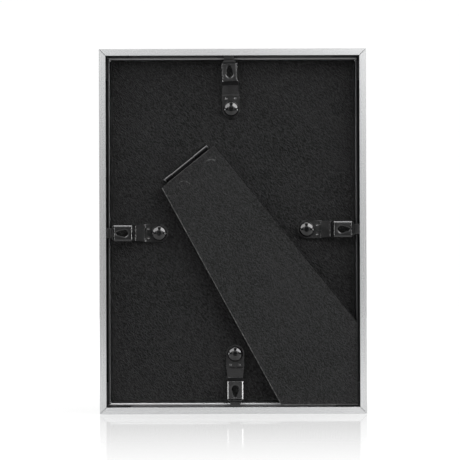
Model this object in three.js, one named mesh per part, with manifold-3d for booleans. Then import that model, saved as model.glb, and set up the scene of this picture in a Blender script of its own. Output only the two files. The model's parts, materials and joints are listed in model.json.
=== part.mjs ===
// An aluminium picture frame for a 127 x 178 mm (5 x 7 inch) print, standing upright with its
// strut folded flat. Millimetres, +Z up. The picture faces -Y and the strut is on the +Y side.
// Left and right are as seen from the front, so left is -X.
import * as THREE from 'three';
import { mergeVertices } from 'three/addons/utils/BufferGeometryUtils.js';
import Module from 'manifold-3d';

const wasm = await Module();
wasm.setup();

// ---- Driving sizes ---------------------------------------------------------------------------

// The sheets, from the glass to the paper on the back of the board
const PICTURE_WIDTH = 127;
const PICTURE_HEIGHT = 177.8;
const STACK_CLEARANCE = 0.4; // round the edges of the sheets
const GLASS_SEAT = 0.2; // between the face plate and the glass
const GLASS = 2;
const PRINT = 0.3;
const FILLER = 1;
const BOARD = 2.85;
const COVER_PAPER = 0.25;
const SHEET_GAP = 0.1; // between two sheets that touch or are glued

// Section of the rails
const FACE_PLATE = 1.2;
const FACE_LEDGE = 3.4; // how far the face plate covers the glass
const OUTER_WALL = 1.2;
const KEY_CHANNEL = 3; // between the outer wall and the web, where the corner keys sit
const INNER_WEB = 1;
const WEB_ABOVE_BOARD = 0.4;
const REAR_LIP = 3.4; // from the outer face to the edge of the lip
const LIP_THICKNESS = 1.4;
const RECESS = 6.8; // from the back of the board to the rear plane of the rails
const MITRE_GAP = 0.2;

// Corner keys
const KEY_THICKNESS = 3;
const KEY_LEG = 14;
const KEY_FIT = 0.2; // between a key and its channel

// Swivel clips: s runs outwards from the rivet, heights are above the back of the board
const CLIP_SHEET = 0.8;
const CLIP_LIFT = 0.2; // between the board and the clip
const CLIP_END_RADIUS = 4.7;
const RIVET_TO_BEND = 6.6;
const BEND_LENGTH = 1;
const STRIP_LENGTH = 4.6;
const RISE_LENGTH = 1.8; // steep, from the strip to the box
const BOX_LENGTH = 9.4;
const SHOULDER_LENGTH = 1.6; // from the box down to the tongue
const TONGUE_TO_LIP = 2.3; // from the shoulder to the edge of the lip
const TONGUE_UNDER_LIP = 1.6;
const STRIP_HEIGHT = 1.7;
const STRIP_START_WIDTH = 9.2;
const STRIP_END_WIDTH = 8;
const BOX_ROOF_WIDTH = 5.9;
const BOX_FOOT_WIDTH = 8.2;
const BOX_FLANK_DROP = 1;
const BOX_ABOVE_TONGUE = 0.5;
const SHOULDER_WIDTH = 7.8;
const TONGUE_WIDTH = 5.2;
const TONGUE_FIT = 0.3; // between the tongue and the lip that it holds under
const KEYHOLE_FROM_BOX = 2; // a teardrop with its narrow end outwards
const KEYHOLE_LENGTH = 6.3;
const KEYHOLE_RADIUS = 1.9;
const KEYHOLE_TIP_RADIUS = 0.75;
const DIMPLE_RADIUS = 0.55;
const DIMPLE_FROM_RIVET = 5.5;
const DIMPLE_SPACING = 4.8;

// Rivets. Each is free in its hole, so that the gaps show what turns on what.
const RIVET_FIT = 0.2;
const CLIP_RIVET_HEAD_RADIUS = 4.1;
const CLIP_RIVET_HEAD_HEIGHT = 2.6;
const CLIP_RIVET_SHANK_RADIUS = 1.5;
const CLIP_RIVET_CLINCH_RADIUS = 2.9;
const CLINCH_THICKNESS = 0.5;
const CLINCH_POCKET = 0.8; // depth of the pocket in the front of the board
const LEAF_RIVET_HEAD_RADIUS = 2.2;
const LEAF_RIVET_HEAD_HEIGHT = 0.55;
const LEAF_RIVET_SHANK_RADIUS = 1.2;
const STRUT_RIVET_HEAD_RADIUS = 3.7;
const STRUT_RIVET_HEAD_HEIGHT = 0.6;
const STRUT_RIVET_POCKET = 0.9;
const LEAF_RIVET_FIT = 0.1; // between a leaf and the rivet that holds it

// Strut and its hinge
const STRUT_TO_RIVET = 9.1; // from the strut to the middle of the top, left and bottom rivets
const STRUT_TO_RIGHT_RIVET = 12.2;
const STRUT_FLARE_DEG = 10; // between its long edges
const STRUT_CORE = 2.15;
const STRUT_EDGE_GAP = 1; // between its foot and the lips
const STRUT_TO_AXIS = 2; // from the hinge axis to its top edge
const KNUCKLES = [8.5, 14.6, 4.4]; // lengths; the board leaf has the first and the third
const KNUCKLE_RADIUS = 1.3;
const KNUCKLE_GAP = 0.3;
const PIN_RADIUS = 0.6;
const PIN_HEAD_RADIUS = 0.95;
const PIN_HEAD = 0.5;
const PIN_FIT = 0.15;
const LEAF_SHEET = 0.8;
const LEAF_LENGTH = 17;
const LEAF_GAP = 0.1; // between a leaf and what it is riveted to
const STRUT_RIVET_SPACING = 18;
const STRUT_RIVET_FROM_AXIS = 9.7;
const BOARD_RIVET_SPACING = 8;
const BOARD_RIVET_FROM_AXIS = 12.6;

// Number of sides of round pieces
const ROUND = 24;
const SMALL_ROUND = 16;

// ---- Sizes that follow -------------------------------------------------------------------------

const rabbet = OUTER_WALL + KEY_CHANNEL + INNER_WEB;
const outerWidth = PICTURE_WIDTH + 2 * (STACK_CLEARANCE + rabbet);
const outerHeight = PICTURE_HEIGHT + 2 * (STACK_CLEARANCE + rabbet);

// Depths run from the front face (0) to the back
const glassFront = FACE_PLATE + GLASS_SEAT;
const printFront = glassFront + GLASS + SHEET_GAP;
const fillerFront = printFront + PRINT + SHEET_GAP;
const boardFront = fillerFront + FILLER + SHEET_GAP;
const coverFront = boardFront + BOARD + SHEET_GAP;
const boardBack = coverFront + COVER_PAPER;
const railDepth = boardBack + RECESS;
const lipFront = railDepth - LIP_THICKNESS;

const bendEnd = RIVET_TO_BEND + BEND_LENGTH;
const stripEnd = bendEnd + STRIP_LENGTH;
const boxStart = stripEnd + RISE_LENGTH;
const boxEnd = boxStart + BOX_LENGTH;
const tongueStart = boxEnd + SHOULDER_LENGTH;
const clipToLip = tongueStart + TONGUE_TO_LIP;
const clipReach = clipToLip + TONGUE_UNDER_LIP;
const clipTop = CLIP_LIFT + CLIP_SHEET;
const tongueHeight = lipFront - TONGUE_FIT - boardBack;
const boxHeight = tongueHeight + BOX_ABOVE_TONGUE;
const clinchFront = boardFront + (CLINCH_POCKET - CLINCH_THICKNESS) / 2;

const hingeLength = KNUCKLES.reduce((sum, length) => sum + length, 0);
const axisDepth = boardBack + LEAF_GAP + KNUCKLE_RADIUS;
const boardLeafBack = boardBack + LEAF_GAP + LEAF_SHEET;
const strutLeafBack = axisDepth + KNUCKLE_RADIUS;
const strutLeafFront = strutLeafBack - LEAF_SHEET;
const strutFront = strutLeafBack + LEAF_GAP;
const strutCoverFront = strutFront + STRUT_CORE + SHEET_GAP;
const strutBack = strutCoverFront + COVER_PAPER;

// The four sides in clockwise order. A side's own group has +Z outwards and +X along it. A clip
// sits a little off the middle of its side and may lean a little.
const SIDES = [
  { name: 'top', turn: 0, span: outerHeight / 2, length: outerWidth, shift: 0.7, lean: 2.3 },
  { name: 'right', turn: 90, span: outerWidth / 2, length: outerHeight, shift: 0.8, lean: 0 },
  { name: 'bottom', turn: 180, span: outerHeight / 2, length: outerWidth, shift: 1, lean: 0 },
  { name: 'left', turn: -90, span: outerWidth / 2, length: outerHeight, shift: 1, lean: 0 },
];
const clipPivot = (side) => side.span - REAR_LIP - clipToLip;

// The strut lies between the clips. Its flared edge keeps off the right and bottom rivets, its
// straight edge off the left one and its top edge off the top one.
const sidePivot = outerWidth / 2 - REAR_LIP - clipToLip;
const endPivot = outerHeight / 2 - REAR_LIP - clipToLip;
const flare = THREE.MathUtils.degToRad(STRUT_FLARE_DEG);
const flaredSlope = Math.atan2(endPivot, sidePivot)
  + Math.asin((STRUT_TO_RIGHT_RIVET - STRUT_TO_RIVET) / Math.hypot(endPivot, sidePivot));
const hingeTurn = Math.PI / 2 - (flaredSlope - flare);
const strutTop = endPivot * Math.cos(hingeTurn) - STRUT_TO_RIVET;
const straightEdge = -sidePivot * Math.cos(hingeTurn) + STRUT_TO_RIVET;
const flaredEdge = sidePivot * Math.cos(hingeTurn) - STRUT_TO_RIGHT_RIVET / Math.cos(flare)
  - (strutTop - sidePivot * Math.sin(hingeTurn)) * Math.tan(flare);
const strutTopWidth = flaredEdge - straightEdge;

// The hinge frame: its origin is the middle of the hinge axis, +X runs along the axis and -Z
// down the strut.
const hingeFrame = new THREE.Matrix4().makeRotationY(hingeTurn);
hingeFrame.setPosition(
  new THREE.Vector3((straightEdge + flaredEdge) / 2, 0, strutTop + STRUT_TO_AXIS)
    .applyMatrix4(hingeFrame),
);

// ---- Helpers -------------------------------------------------------------------------------------

const metal = (color, roughness) => new THREE.MeshStandardMaterial({ color, roughness, metalness: 1 });
const plain = (color, roughness) => new THREE.MeshStandardMaterial({ color, roughness, metalness: 0 });

function solid(geometry) {
  const bare = geometry.clone();
  bare.deleteAttribute('normal');
  bare.deleteAttribute('uv');
  const merged = mergeVertices(bare, 1e-4);
  return new wasm.Manifold(new wasm.Mesh({
    numProp: 3,
    vertProperties: new Float32Array(merged.attributes.position.array),
    triVerts: new Uint32Array(merged.index.array),
  }));
}

function surface(manifold) {
  const mesh = manifold.getMesh();
  const geometry = new THREE.BufferGeometry();
  geometry.setAttribute('position', new THREE.BufferAttribute(mesh.vertProperties, 3));
  geometry.setIndex(new THREE.BufferAttribute(mesh.triVerts, 1));
  return geometry;
}

function outline(points) {
  return new THREE.Shape(points.map(([x, z]) => new THREE.Vector2(x, z)));
}

// A flat piece: its outline is in X and Z, and it fills the depths from front to back.
function slab(shape, front, back, curveSegments = 12) {
  const geometry = new THREE.ExtrudeGeometry(shape, {
    depth: back - front,
    bevelEnabled: false,
    curveSegments,
  });
  geometry.rotateX(Math.PI / 2);
  geometry.translate(0, back, 0);
  return geometry;
}

function sheet(width, height, front, back) {
  const geometry = new THREE.BoxGeometry(width, back - front, height);
  geometry.translate(0, (front + back) / 2, 0);
  return geometry;
}

// A round cutter along Y at a site in X and Z.
function bore(site, radius, front, back, sides = SMALL_ROUND) {
  const geometry = new THREE.CylinderGeometry(radius, radius, back - front, sides);
  geometry.translate(site.x, (front + back) / 2, site.z);
  return solid(geometry);
}

function place(parent, name, geometry, material) {
  const mesh = new THREE.Mesh(geometry, material);
  mesh.name = name;
  parent.add(mesh);
  return mesh;
}

// ---- Rails and corner keys -------------------------------------------------------------------

// The section has its outer face at u = 0 and its front face at depth 0.
function railSection() {
  const face = rabbet + FACE_LEDGE;
  const web = rabbet - INNER_WEB;
  const webTop = boardBack + WEB_ABOVE_BOARD;
  return outline([
    [0, 0],
    [face, 0],
    [face, FACE_PLATE],
    [rabbet, FACE_PLATE],
    [rabbet, webTop],
    [web, webTop],
    [web, FACE_PLATE],
    [OUTER_WALL, FACE_PLATE],
    [OUTER_WALL, lipFront],
    [REAR_LIP, lipFront],
    [REAR_LIP, railDepth],
    [0, railDepth],
  ]);
}

// The rail runs along X with its outer face at z = 0. Each edge ends on the mitre, so it is
// shorter the further in it lies.
function rail(length) {
  const geometry = new THREE.ExtrudeGeometry(railSection(), { depth: 1, bevelEnabled: false });
  const position = geometry.attributes.position;
  for (let i = 0; i < position.count; i += 1) {
    const inset = position.getX(i);
    const end = Math.sign(position.getZ(i) - 0.5);
    const reach = length / 2 - inset - MITRE_GAP / Math.SQRT2;
    position.setXYZ(i, end * reach, position.getY(i), -inset);
  }
  return geometry;
}

// An L in the key channels of two rails, with the outer corner of the frame at its origin.
function cornerKey() {
  const near = OUTER_WALL + KEY_FIT;
  const far = OUTER_WALL + KEY_CHANNEL - KEY_FIT;
  const reach = near + KEY_LEG;
  const shape = outline([
    [-near, -near],
    [-reach, -near],
    [-reach, -far],
    [-far, -far],
    [-far, -reach],
    [-near, -reach],
  ]);
  const front = FACE_PLATE + KEY_FIT;
  return slab(shape, front, front + KEY_THICKNESS);
}

// ---- Rivets ------------------------------------------------------------------------------------

// A round piece on the Y axis from [radius, depth] points that start and end on the axis.
function turned(profile, sides) {
  return new THREE.LatheGeometry(profile.map(([r, y]) => new THREE.Vector2(r, y)), sides);
}

// Its clinch is at the front, so the head starts at headFront and the shank joins them.
function rivetProfile(clinch, shankRadius, head) {
  return [
    [0, clinch.front],
    [clinch.radius, clinch.front],
    [clinch.radius, clinch.back],
    [shankRadius, clinch.back],
    [shankRadius, head.front],
    [head.radius, head.front],
  ];
}

function flatRivet(clinch, shankRadius, head, sides) {
  const profile = rivetProfile(clinch, shankRadius, head);
  profile.push([head.radius, head.back], [0, head.back]);
  return turned(profile, sides);
}

function domedRivet(clinch, shankRadius, head, sides) {
  const profile = rivetProfile(clinch, shankRadius, head);
  const steps = 6;
  for (let i = 1; i <= steps; i += 1) {
    const angle = (i / steps) * (Math.PI / 2);
    const rise = (head.back - head.front) * Math.sin(angle);
    profile.push([i < steps ? head.radius * Math.cos(angle) : 0, head.front + rise]);
  }
  return turned(profile, sides);
}

const boardClinch = (radius) => ({
  radius,
  front: clinchFront,
  back: clinchFront + CLINCH_THICKNESS,
});

// ---- Swivel clips --------------------------------------------------------------------------------

// The section of a bent sheet whose upper face follows the path of [along, height] points.
function bentSheet(path, thickness) {
  const upper = path.map(([x, y]) => new THREE.Vector2(x, y));
  const lower = upper.map((point, i) => {
    const into = point.clone().sub(upper[i - 1] ?? point);
    const outOf = (upper[i + 1] ?? point).clone().sub(point);
    const a = (i > 0 ? into : outOf).normalize();
    const b = (i < upper.length - 1 ? outOf : into).normalize();
    const mid = a.clone().add(b).normalize();
    const drop = thickness / mid.dot(a);
    return new THREE.Vector2(point.x + mid.y * drop, point.y - mid.x * drop);
  });
  return new THREE.Shape([...upper, ...lower.reverse()]);
}

function keyholeShape() {
  const shape = new THREE.Shape();
  const round = boxStart + KEYHOLE_FROM_BOX + KEYHOLE_RADIUS;
  const tip = boxStart + KEYHOLE_FROM_BOX + KEYHOLE_LENGTH - KEYHOLE_TIP_RADIUS;
  const slant = Math.asin((KEYHOLE_RADIUS - KEYHOLE_TIP_RADIUS) / (tip - round));
  shape.absarc(0, tip, KEYHOLE_TIP_RADIUS, slant, Math.PI - slant, false);
  shape.absarc(0, round, KEYHOLE_RADIUS, Math.PI - slant, 2 * Math.PI + slant, false);
  return shape;
}

function clipOutline() {
  const shape = new THREE.Shape();
  shape.absarc(0, 0, CLIP_END_RADIUS, Math.PI, 2 * Math.PI, false);
  const side = [
    [CLIP_END_RADIUS, RIVET_TO_BEND - 1],
    [STRIP_START_WIDTH / 2, RIVET_TO_BEND],
    [STRIP_END_WIDTH / 2, stripEnd],
    [STRIP_END_WIDTH / 2, boxStart],
    [BOX_ROOF_WIDTH / 2, boxStart],
    [BOX_ROOF_WIDTH / 2, boxEnd],
    [SHOULDER_WIDTH / 2, boxEnd],
    [TONGUE_WIDTH / 2, tongueStart],
    [TONGUE_WIDTH / 2, clipReach],
  ];
  side.forEach(([x, z]) => shape.lineTo(x, z));
  side.reverse().forEach(([x, z]) => shape.lineTo(-x, z));
  return shape;
}

// The clip has its rivet at the origin, +Z outwards and the back of the board at y = 0.
function clip() {
  const path = [
    [-CLIP_END_RADIUS - 1, clipTop],
    [RIVET_TO_BEND, clipTop],
    [bendEnd, STRIP_HEIGHT],
    [stripEnd, STRIP_HEIGHT],
    [boxStart, boxHeight],
    [boxEnd, boxHeight],
    [tongueStart, tongueHeight],
    [clipReach + 1, tongueHeight],
  ];
  const width = 2 * CLIP_END_RADIUS;
  const strip = new THREE.ExtrudeGeometry(bentSheet(path, CLIP_SHEET), {
    depth: width,
    bevelEnabled: false,
  });
  strip.rotateY(-Math.PI / 2);
  strip.translate(width / 2, 0, 0);

  const roof = new THREE.ExtrudeGeometry(bentSheet([
    [-BOX_FOOT_WIDTH / 2, boxHeight - BOX_FLANK_DROP],
    [-BOX_ROOF_WIDTH / 2, boxHeight],
    [BOX_ROOF_WIDTH / 2, boxHeight],
    [BOX_FOOT_WIDTH / 2, boxHeight - BOX_FLANK_DROP],
  ], CLIP_SHEET), { depth: boxEnd - boxStart, bevelEnabled: false });
  roof.translate(0, 0, boxStart);

  const ceiling = boxHeight + 1;
  let body = solid(strip)
    .intersect(solid(slab(clipOutline(), 0, ceiling)))
    .add(solid(roof))
    .subtract(solid(slab(keyholeShape(), 0, ceiling, 8)))
    .subtract(bore({ x: 0, z: 0 }, CLIP_RIVET_SHANK_RADIUS + RIVET_FIT, 0, ceiling));
  for (const end of [-1, 1]) {
    const dimple = new THREE.SphereGeometry(DIMPLE_RADIUS, 8, 6);
    dimple.translate((end * DIMPLE_SPACING) / 2, clipTop + 0.1, DIMPLE_FROM_RIVET);
    body = body.subtract(solid(dimple));
  }
  return surface(body);
}

// ---- Strut and hinge -----------------------------------------------------------------------------

// A leaf of the hinge in the hinge frame. It has the knuckles whose index is even or odd.
function hingeLeaf(front, parity) {
  const inner = KNUCKLE_RADIUS + KNUCKLE_GAP;
  const plate = sheet(hingeLength, LEAF_LENGTH - inner, front, front + LEAF_SHEET);
  plate.translate(0, 0, -(LEAF_LENGTH + inner) / 2);
  let leaf = solid(plate);
  let start = -hingeLength / 2;
  KNUCKLES.forEach((length, index) => {
    if (index % 2 === parity) {
      const width = length - KNUCKLE_GAP;
      const middle = start + length / 2;
      const tab = sheet(width, inner + 1, front, front + LEAF_SHEET);
      tab.translate(middle, 0, -(inner + 1) / 2);
      const barrel = new THREE.CylinderGeometry(KNUCKLE_RADIUS, KNUCKLE_RADIUS, width, SMALL_ROUND);
      barrel.rotateZ(Math.PI / 2);
      barrel.translate(middle, axisDepth, 0);
      leaf = leaf.add(solid(tab)).add(solid(barrel));
    }
    start += length;
  });
  const hole = PIN_RADIUS + PIN_FIT;
  const pinHole = new THREE.CylinderGeometry(hole, hole, hingeLength + 2, SMALL_ROUND);
  pinHole.rotateZ(Math.PI / 2);
  pinHole.translate(0, axisDepth, 0);
  return leaf.subtract(solid(pinHole));
}

function hingePin() {
  const end = hingeLength / 2;
  const profile = [
    [0, -end - PIN_HEAD],
    [PIN_HEAD_RADIUS, -end - PIN_HEAD],
    [PIN_HEAD_RADIUS, -end],
    [PIN_RADIUS, -end],
    [PIN_RADIUS, end],
    [PIN_HEAD_RADIUS, end],
    [PIN_HEAD_RADIUS, end + PIN_HEAD],
    [0, end + PIN_HEAD],
  ];
  const pin = turned(profile, SMALL_ROUND);
  pin.rotateZ(Math.PI / 2);
  pin.translate(0, axisDepth, 0);
  return pin;
}

// The strut's outline between two depths in the hinge frame: two long edges that run on past the
// frame, cut off square to the frame by its opening.
function strutSheet(front, back) {
  const run = outerWidth + outerHeight;
  const half = strutTopWidth / 2;
  const long = slab(outline([
    [-half, -STRUT_TO_AXIS],
    [half, -STRUT_TO_AXIS],
    [half + run * Math.tan(flare), -STRUT_TO_AXIS - run],
    [-half, -STRUT_TO_AXIS - run],
  ]), front, back);
  const margin = 2 * (REAR_LIP + STRUT_EDGE_GAP);
  const opening = sheet(outerWidth - margin, outerHeight - margin, front - 1, back + 1);
  opening.applyMatrix4(hingeFrame.clone().invert());
  return solid(long).intersect(solid(opening));
}

const pair = (spacing, fromAxis) => [-1, 1].map(
  (end) => ({ x: (end * spacing) / 2, z: -fromAxis, name: end < 0 ? 'a' : 'b' }),
);
const strutRivets = pair(STRUT_RIVET_SPACING, STRUT_RIVET_FROM_AXIS);
const boardRivets = pair(BOARD_RIVET_SPACING, BOARD_RIVET_FROM_AXIS);

function drilled(body, sites, radius, front, back) {
  return sites.reduce((rest, site) => rest.subtract(bore(site, radius, front, back)), body);
}

// ---- The frame -------------------------------------------------------------------------------------

const frame = new THREE.Group();
frame.position.set(0, -railDepth / 2, outerHeight / 2);

const aluminium = () => metal(0xbfc1c3, 0.38);
const blackSteel = () => plain(0x111112, 0.22);
const blackPaper = () => plain(0x1e1e1f, 0.8);
const rivetShank = CLIP_RIVET_SHANK_RADIUS + RIVET_FIT;

const clipSites = [];
for (const side of SIDES) {
  const group = new THREE.Group();
  group.rotation.y = THREE.MathUtils.degToRad(side.turn);
  frame.add(group);

  place(group, `rail_${side.name}`, rail(side.length), aluminium()).position.z = side.span;

  const pivot = new THREE.Vector3(side.shift, 0, clipPivot(side));
  const swivel = place(group, `clip_${side.name}`, clip(), blackSteel());
  swivel.position.copy(pivot).setY(boardBack);
  swivel.rotation.y = THREE.MathUtils.degToRad(side.lean);

  const headFront = boardBack + clipTop + RIVET_FIT;
  const head = {
    radius: CLIP_RIVET_HEAD_RADIUS,
    front: headFront,
    back: headFront + CLIP_RIVET_HEAD_HEIGHT,
  };
  const rivet = domedRivet(
    boardClinch(CLIP_RIVET_CLINCH_RADIUS), CLIP_RIVET_SHANK_RADIUS, head, ROUND,
  );
  place(group, `clip_rivet_${side.name}`, rivet, blackSteel()).position.copy(pivot);
  clipSites.push(pivot.clone().applyEuler(group.rotation));
}

const CORNERS = [
  { name: 'top_right', turn: 0, x: 1, z: 1 },
  { name: 'bottom_right', turn: 90, x: 1, z: -1 },
  { name: 'bottom_left', turn: 180, x: -1, z: -1 },
  { name: 'top_left', turn: -90, x: -1, z: 1 },
];
for (const corner of CORNERS) {
  const key = place(frame, `corner_key_${corner.name}`, cornerKey(), metal(0x8c8f92, 0.5));
  key.position.set((corner.x * outerWidth) / 2, 0, (corner.z * outerHeight) / 2);
  key.rotation.y = THREE.MathUtils.degToRad(corner.turn);
}

// Sheets, from the front to the back
place(frame, 'glass_pane', sheet(PICTURE_WIDTH, PICTURE_HEIGHT, glassFront, glassFront + GLASS),
  plain(0xdfe8e6, 0.05));
place(frame, 'print_insert', sheet(PICTURE_WIDTH, PICTURE_HEIGHT, printFront, printFront + PRINT),
  plain(0xe9e6df, 0.5));
place(frame, 'filler_card', sheet(PICTURE_WIDTH, PICTURE_HEIGHT, fillerFront, fillerFront + FILLER),
  plain(0x9a8f7d, 0.9));

const leafSites = boardRivets.map(
  (site) => new THREE.Vector3(site.x, 0, site.z).applyMatrix4(hingeFrame),
);
const leafShank = LEAF_RIVET_SHANK_RADIUS + RIVET_FIT;
const pocketBack = boardFront + CLINCH_POCKET;
const clinchPocket = CLIP_RIVET_CLINCH_RADIUS + RIVET_FIT;
let board = solid(sheet(PICTURE_WIDTH, PICTURE_HEIGHT, boardFront, boardFront + BOARD));
board = drilled(board, clipSites, rivetShank, boardFront - 1, coverFront);
board = drilled(board, clipSites, clinchPocket, boardFront - 1, pocketBack);
board = drilled(board, leafSites, leafShank, boardFront - 1, coverFront);
board = drilled(board, leafSites, LEAF_RIVET_HEAD_RADIUS + RIVET_FIT, boardFront - 1, pocketBack);
place(frame, 'backing_board', surface(board), plain(0x5a5248, 0.9));

let cover = solid(sheet(PICTURE_WIDTH, PICTURE_HEIGHT, coverFront, boardBack));
cover = drilled(cover, clipSites, rivetShank, coverFront - 1, boardBack + 1);
cover = drilled(cover, leafSites, leafShank, coverFront - 1, boardBack + 1);
place(frame, 'board_cover_paper', surface(cover), blackPaper());

// Hinge and strut
const hinge = new THREE.Group();
hinge.applyMatrix4(hingeFrame);
frame.add(hinge);

const boardLeaf = drilled(hingeLeaf(boardBack + LEAF_GAP, 0), boardRivets, leafShank,
  boardBack, boardLeafBack + 1);
place(hinge, 'hinge_board_leaf', surface(boardLeaf), blackSteel());
const strutLeaf = drilled(hingeLeaf(strutLeafFront, 1), strutRivets, leafShank,
  strutLeafFront - 1, strutLeafBack + 1);
place(hinge, 'hinge_strut_leaf', surface(strutLeaf), blackSteel());
place(hinge, 'hinge_pin', hingePin(), metal(0x77797c, 0.35));

for (const site of boardRivets) {
  const headFront = boardLeafBack + LEAF_RIVET_FIT;
  const head = {
    radius: LEAF_RIVET_HEAD_RADIUS,
    front: headFront,
    back: headFront + LEAF_RIVET_HEAD_HEIGHT,
  };
  const rivet = flatRivet(
    boardClinch(LEAF_RIVET_HEAD_RADIUS), LEAF_RIVET_SHANK_RADIUS, head, SMALL_ROUND,
  );
  place(hinge, `board_leaf_rivet_${site.name}`, rivet, metal(0x77797c, 0.4))
    .position.set(site.x, 0, site.z);
}

const headPocket = strutFront + STRUT_CORE - STRUT_RIVET_POCKET;
for (const site of strutRivets) {
  const clinchBack = strutLeafFront - LEAF_RIVET_FIT;
  const clinch = {
    radius: LEAF_RIVET_HEAD_RADIUS,
    front: clinchBack - CLINCH_THICKNESS,
    back: clinchBack,
  };
  const head = {
    radius: STRUT_RIVET_HEAD_RADIUS,
    front: headPocket + LEAF_RIVET_FIT,
    back: headPocket + LEAF_RIVET_FIT + STRUT_RIVET_HEAD_HEIGHT,
  };
  const rivet = flatRivet(clinch, LEAF_RIVET_SHANK_RADIUS, head, ROUND);
  place(hinge, `strut_leaf_rivet_${site.name}`, rivet, metal(0x77797c, 0.4))
    .position.set(site.x, 0, site.z);
}

let strut = strutSheet(strutFront, strutFront + STRUT_CORE);
strut = drilled(strut, strutRivets, leafShank, strutFront - 1, strutBack);
strut = drilled(strut, strutRivets, STRUT_RIVET_HEAD_RADIUS + RIVET_FIT, headPocket, strutBack);
place(hinge, 'strut_core', surface(strut), plain(0x6a6156, 0.9));
place(hinge, 'strut_cover_paper', surface(strutSheet(strutCoverFront, strutBack)), blackPaper());

export default frame;
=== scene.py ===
# %% [markdown] # The back of a picture frame This lesson dresses a packed CAD model of an
# aluminium picture frame as it stands upright with its strut folded flat. The CAD holds every
# size and every joint. Blender adds what a stamped clip, a rolled hinge, embossed paper and
# satin aluminium really look like.

# %% Load the packed model
import json
import math
import bmesh
import bpy
from mathutils import Matrix, Vector


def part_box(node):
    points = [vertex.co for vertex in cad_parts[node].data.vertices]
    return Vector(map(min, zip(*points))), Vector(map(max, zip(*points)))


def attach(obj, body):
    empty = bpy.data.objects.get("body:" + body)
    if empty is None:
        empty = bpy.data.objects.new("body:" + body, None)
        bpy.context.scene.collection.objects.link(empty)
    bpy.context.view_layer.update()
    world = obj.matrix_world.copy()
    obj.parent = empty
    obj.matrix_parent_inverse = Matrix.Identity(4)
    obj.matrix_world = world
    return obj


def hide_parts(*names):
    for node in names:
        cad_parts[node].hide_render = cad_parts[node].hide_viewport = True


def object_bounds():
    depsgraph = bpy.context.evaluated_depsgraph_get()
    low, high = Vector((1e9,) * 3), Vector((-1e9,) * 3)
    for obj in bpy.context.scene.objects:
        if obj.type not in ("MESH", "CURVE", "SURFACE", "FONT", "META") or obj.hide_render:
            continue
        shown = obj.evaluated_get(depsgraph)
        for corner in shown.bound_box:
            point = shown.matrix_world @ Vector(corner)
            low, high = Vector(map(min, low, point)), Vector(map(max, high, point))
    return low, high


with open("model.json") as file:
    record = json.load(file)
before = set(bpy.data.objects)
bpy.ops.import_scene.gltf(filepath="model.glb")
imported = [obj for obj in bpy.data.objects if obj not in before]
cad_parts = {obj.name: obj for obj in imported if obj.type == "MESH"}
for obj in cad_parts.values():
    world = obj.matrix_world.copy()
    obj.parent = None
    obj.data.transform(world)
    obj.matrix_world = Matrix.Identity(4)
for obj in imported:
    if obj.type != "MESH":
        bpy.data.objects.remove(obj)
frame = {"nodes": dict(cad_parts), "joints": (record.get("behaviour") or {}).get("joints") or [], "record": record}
cad_low, cad_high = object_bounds()
joints = {joint["name"]: joint for joint in frame["joints"]}

# %% [markdown]
# ## Sizes
# Small metal parts are easier to draw in millimetres, and Blender's mesh tools are more exact on
# numbers near one than on numbers near a thousandth. So every new piece is drawn in millimetres
# and scaled once when it is put in place. Lengths that the CAD already holds are read from its
# boxes.

# %% Sizes in millimetres
MM = 0.001
outer_width = (cad_high.x - cad_low.x) / MM
outer_height = (cad_high.z - cad_low.z) / MM
rail_depth = (cad_high.y - cad_low.y) / MM
board_back = (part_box("board_cover_paper")[1].y - cad_low.y) / MM
face_width = (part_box("rail_top")[1].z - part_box("rail_top")[0].z) / MM
stack_low, stack_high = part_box("glass_pane")
print("outside", round(outer_width, 1), "x", round(outer_height, 1), "x", round(rail_depth, 1))

# %% [markdown]
# ## From a drawing to a piece
# All pieces end the same way. The drawing is scaled and moved to its place, its normals are made
# to point outwards, and edges sharper than a given angle stay sharp while the rest is shaded
# smooth. Plain smooth shading would make a flat face look bent beside a small rounding. Normals
# weighted by the area of the faces keep it flat. The piece then rides on a CAD body and stands
# for the CAD nodes that it replaces.

# %% Helpers for pieces
def place(bm, matrix):
    """Scale a drawing in millimetres to metres and move it to its place."""
    bmesh.ops.transform(bm, matrix=matrix @ Matrix.Scale(MM, 4), verts=bm.verts)


def finished(bm, name, nodes, materials, sharp=35):
    """Turn a drawing into a shaded piece that rides its body and stands for its CAD nodes."""
    bmesh.ops.recalc_face_normals(bm, faces=bm.faces)
    mesh = bpy.data.meshes.new(name)
    bm.to_mesh(mesh)
    bm.free()
    mesh.shade_smooth()
    mesh.set_sharp_from_angle(angle=math.radians(sharp))
    for material in materials:
        mesh.materials.append(material)
    piece = bpy.data.objects.new(name, mesh)
    bpy.context.scene.collection.objects.link(piece)
    body = next(b for b, members in frame["record"]["behaviour"]["bodies"].items() if nodes[0] in members)
    weighted = piece.modifiers.new("weighted_normals", "WEIGHTED_NORMAL")
    weighted.mode = "FACE_AREA"
    weighted.weight = 100
    weighted.keep_sharp = True
    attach(piece, body)
    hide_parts(*nodes)
    return piece


def ease(bm, edges, width, segments):
    """Round the given edges and return the new faces."""
    return bmesh.ops.bevel(
        bm, geom=edges, offset=width, offset_type="OFFSET", segments=segments, profile=0.5,
        affect="EDGES", clamp_overlap=True, material=-1,
    )["faces"]


def soften(bm, width, segments=2, angle=30):
    """Round all edges that turn by more than the angle."""
    edges = [e for e in bm.edges if e.is_manifold and e.calc_face_angle() > math.radians(angle)]
    return ease(bm, edges, width, segments)


def ring_of(bm, points):
    """A closed loop of edges through flat (x, y) points."""
    verts = [bm.verts.new((x, y, 0)) for x, y in points]
    return [bm.edges.new((a, b)) for a, b in zip(verts, verts[1:] + verts[:1])]


def arc(cx, cy, radius, start, end, steps):
    """Points on an arc, with its angles in degrees."""
    angles = [math.radians(start + (end - start) * i / steps) for i in range(steps + 1)]
    return [(cx + radius * math.cos(a), cy + radius * math.sin(a)) for a in angles]


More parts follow.
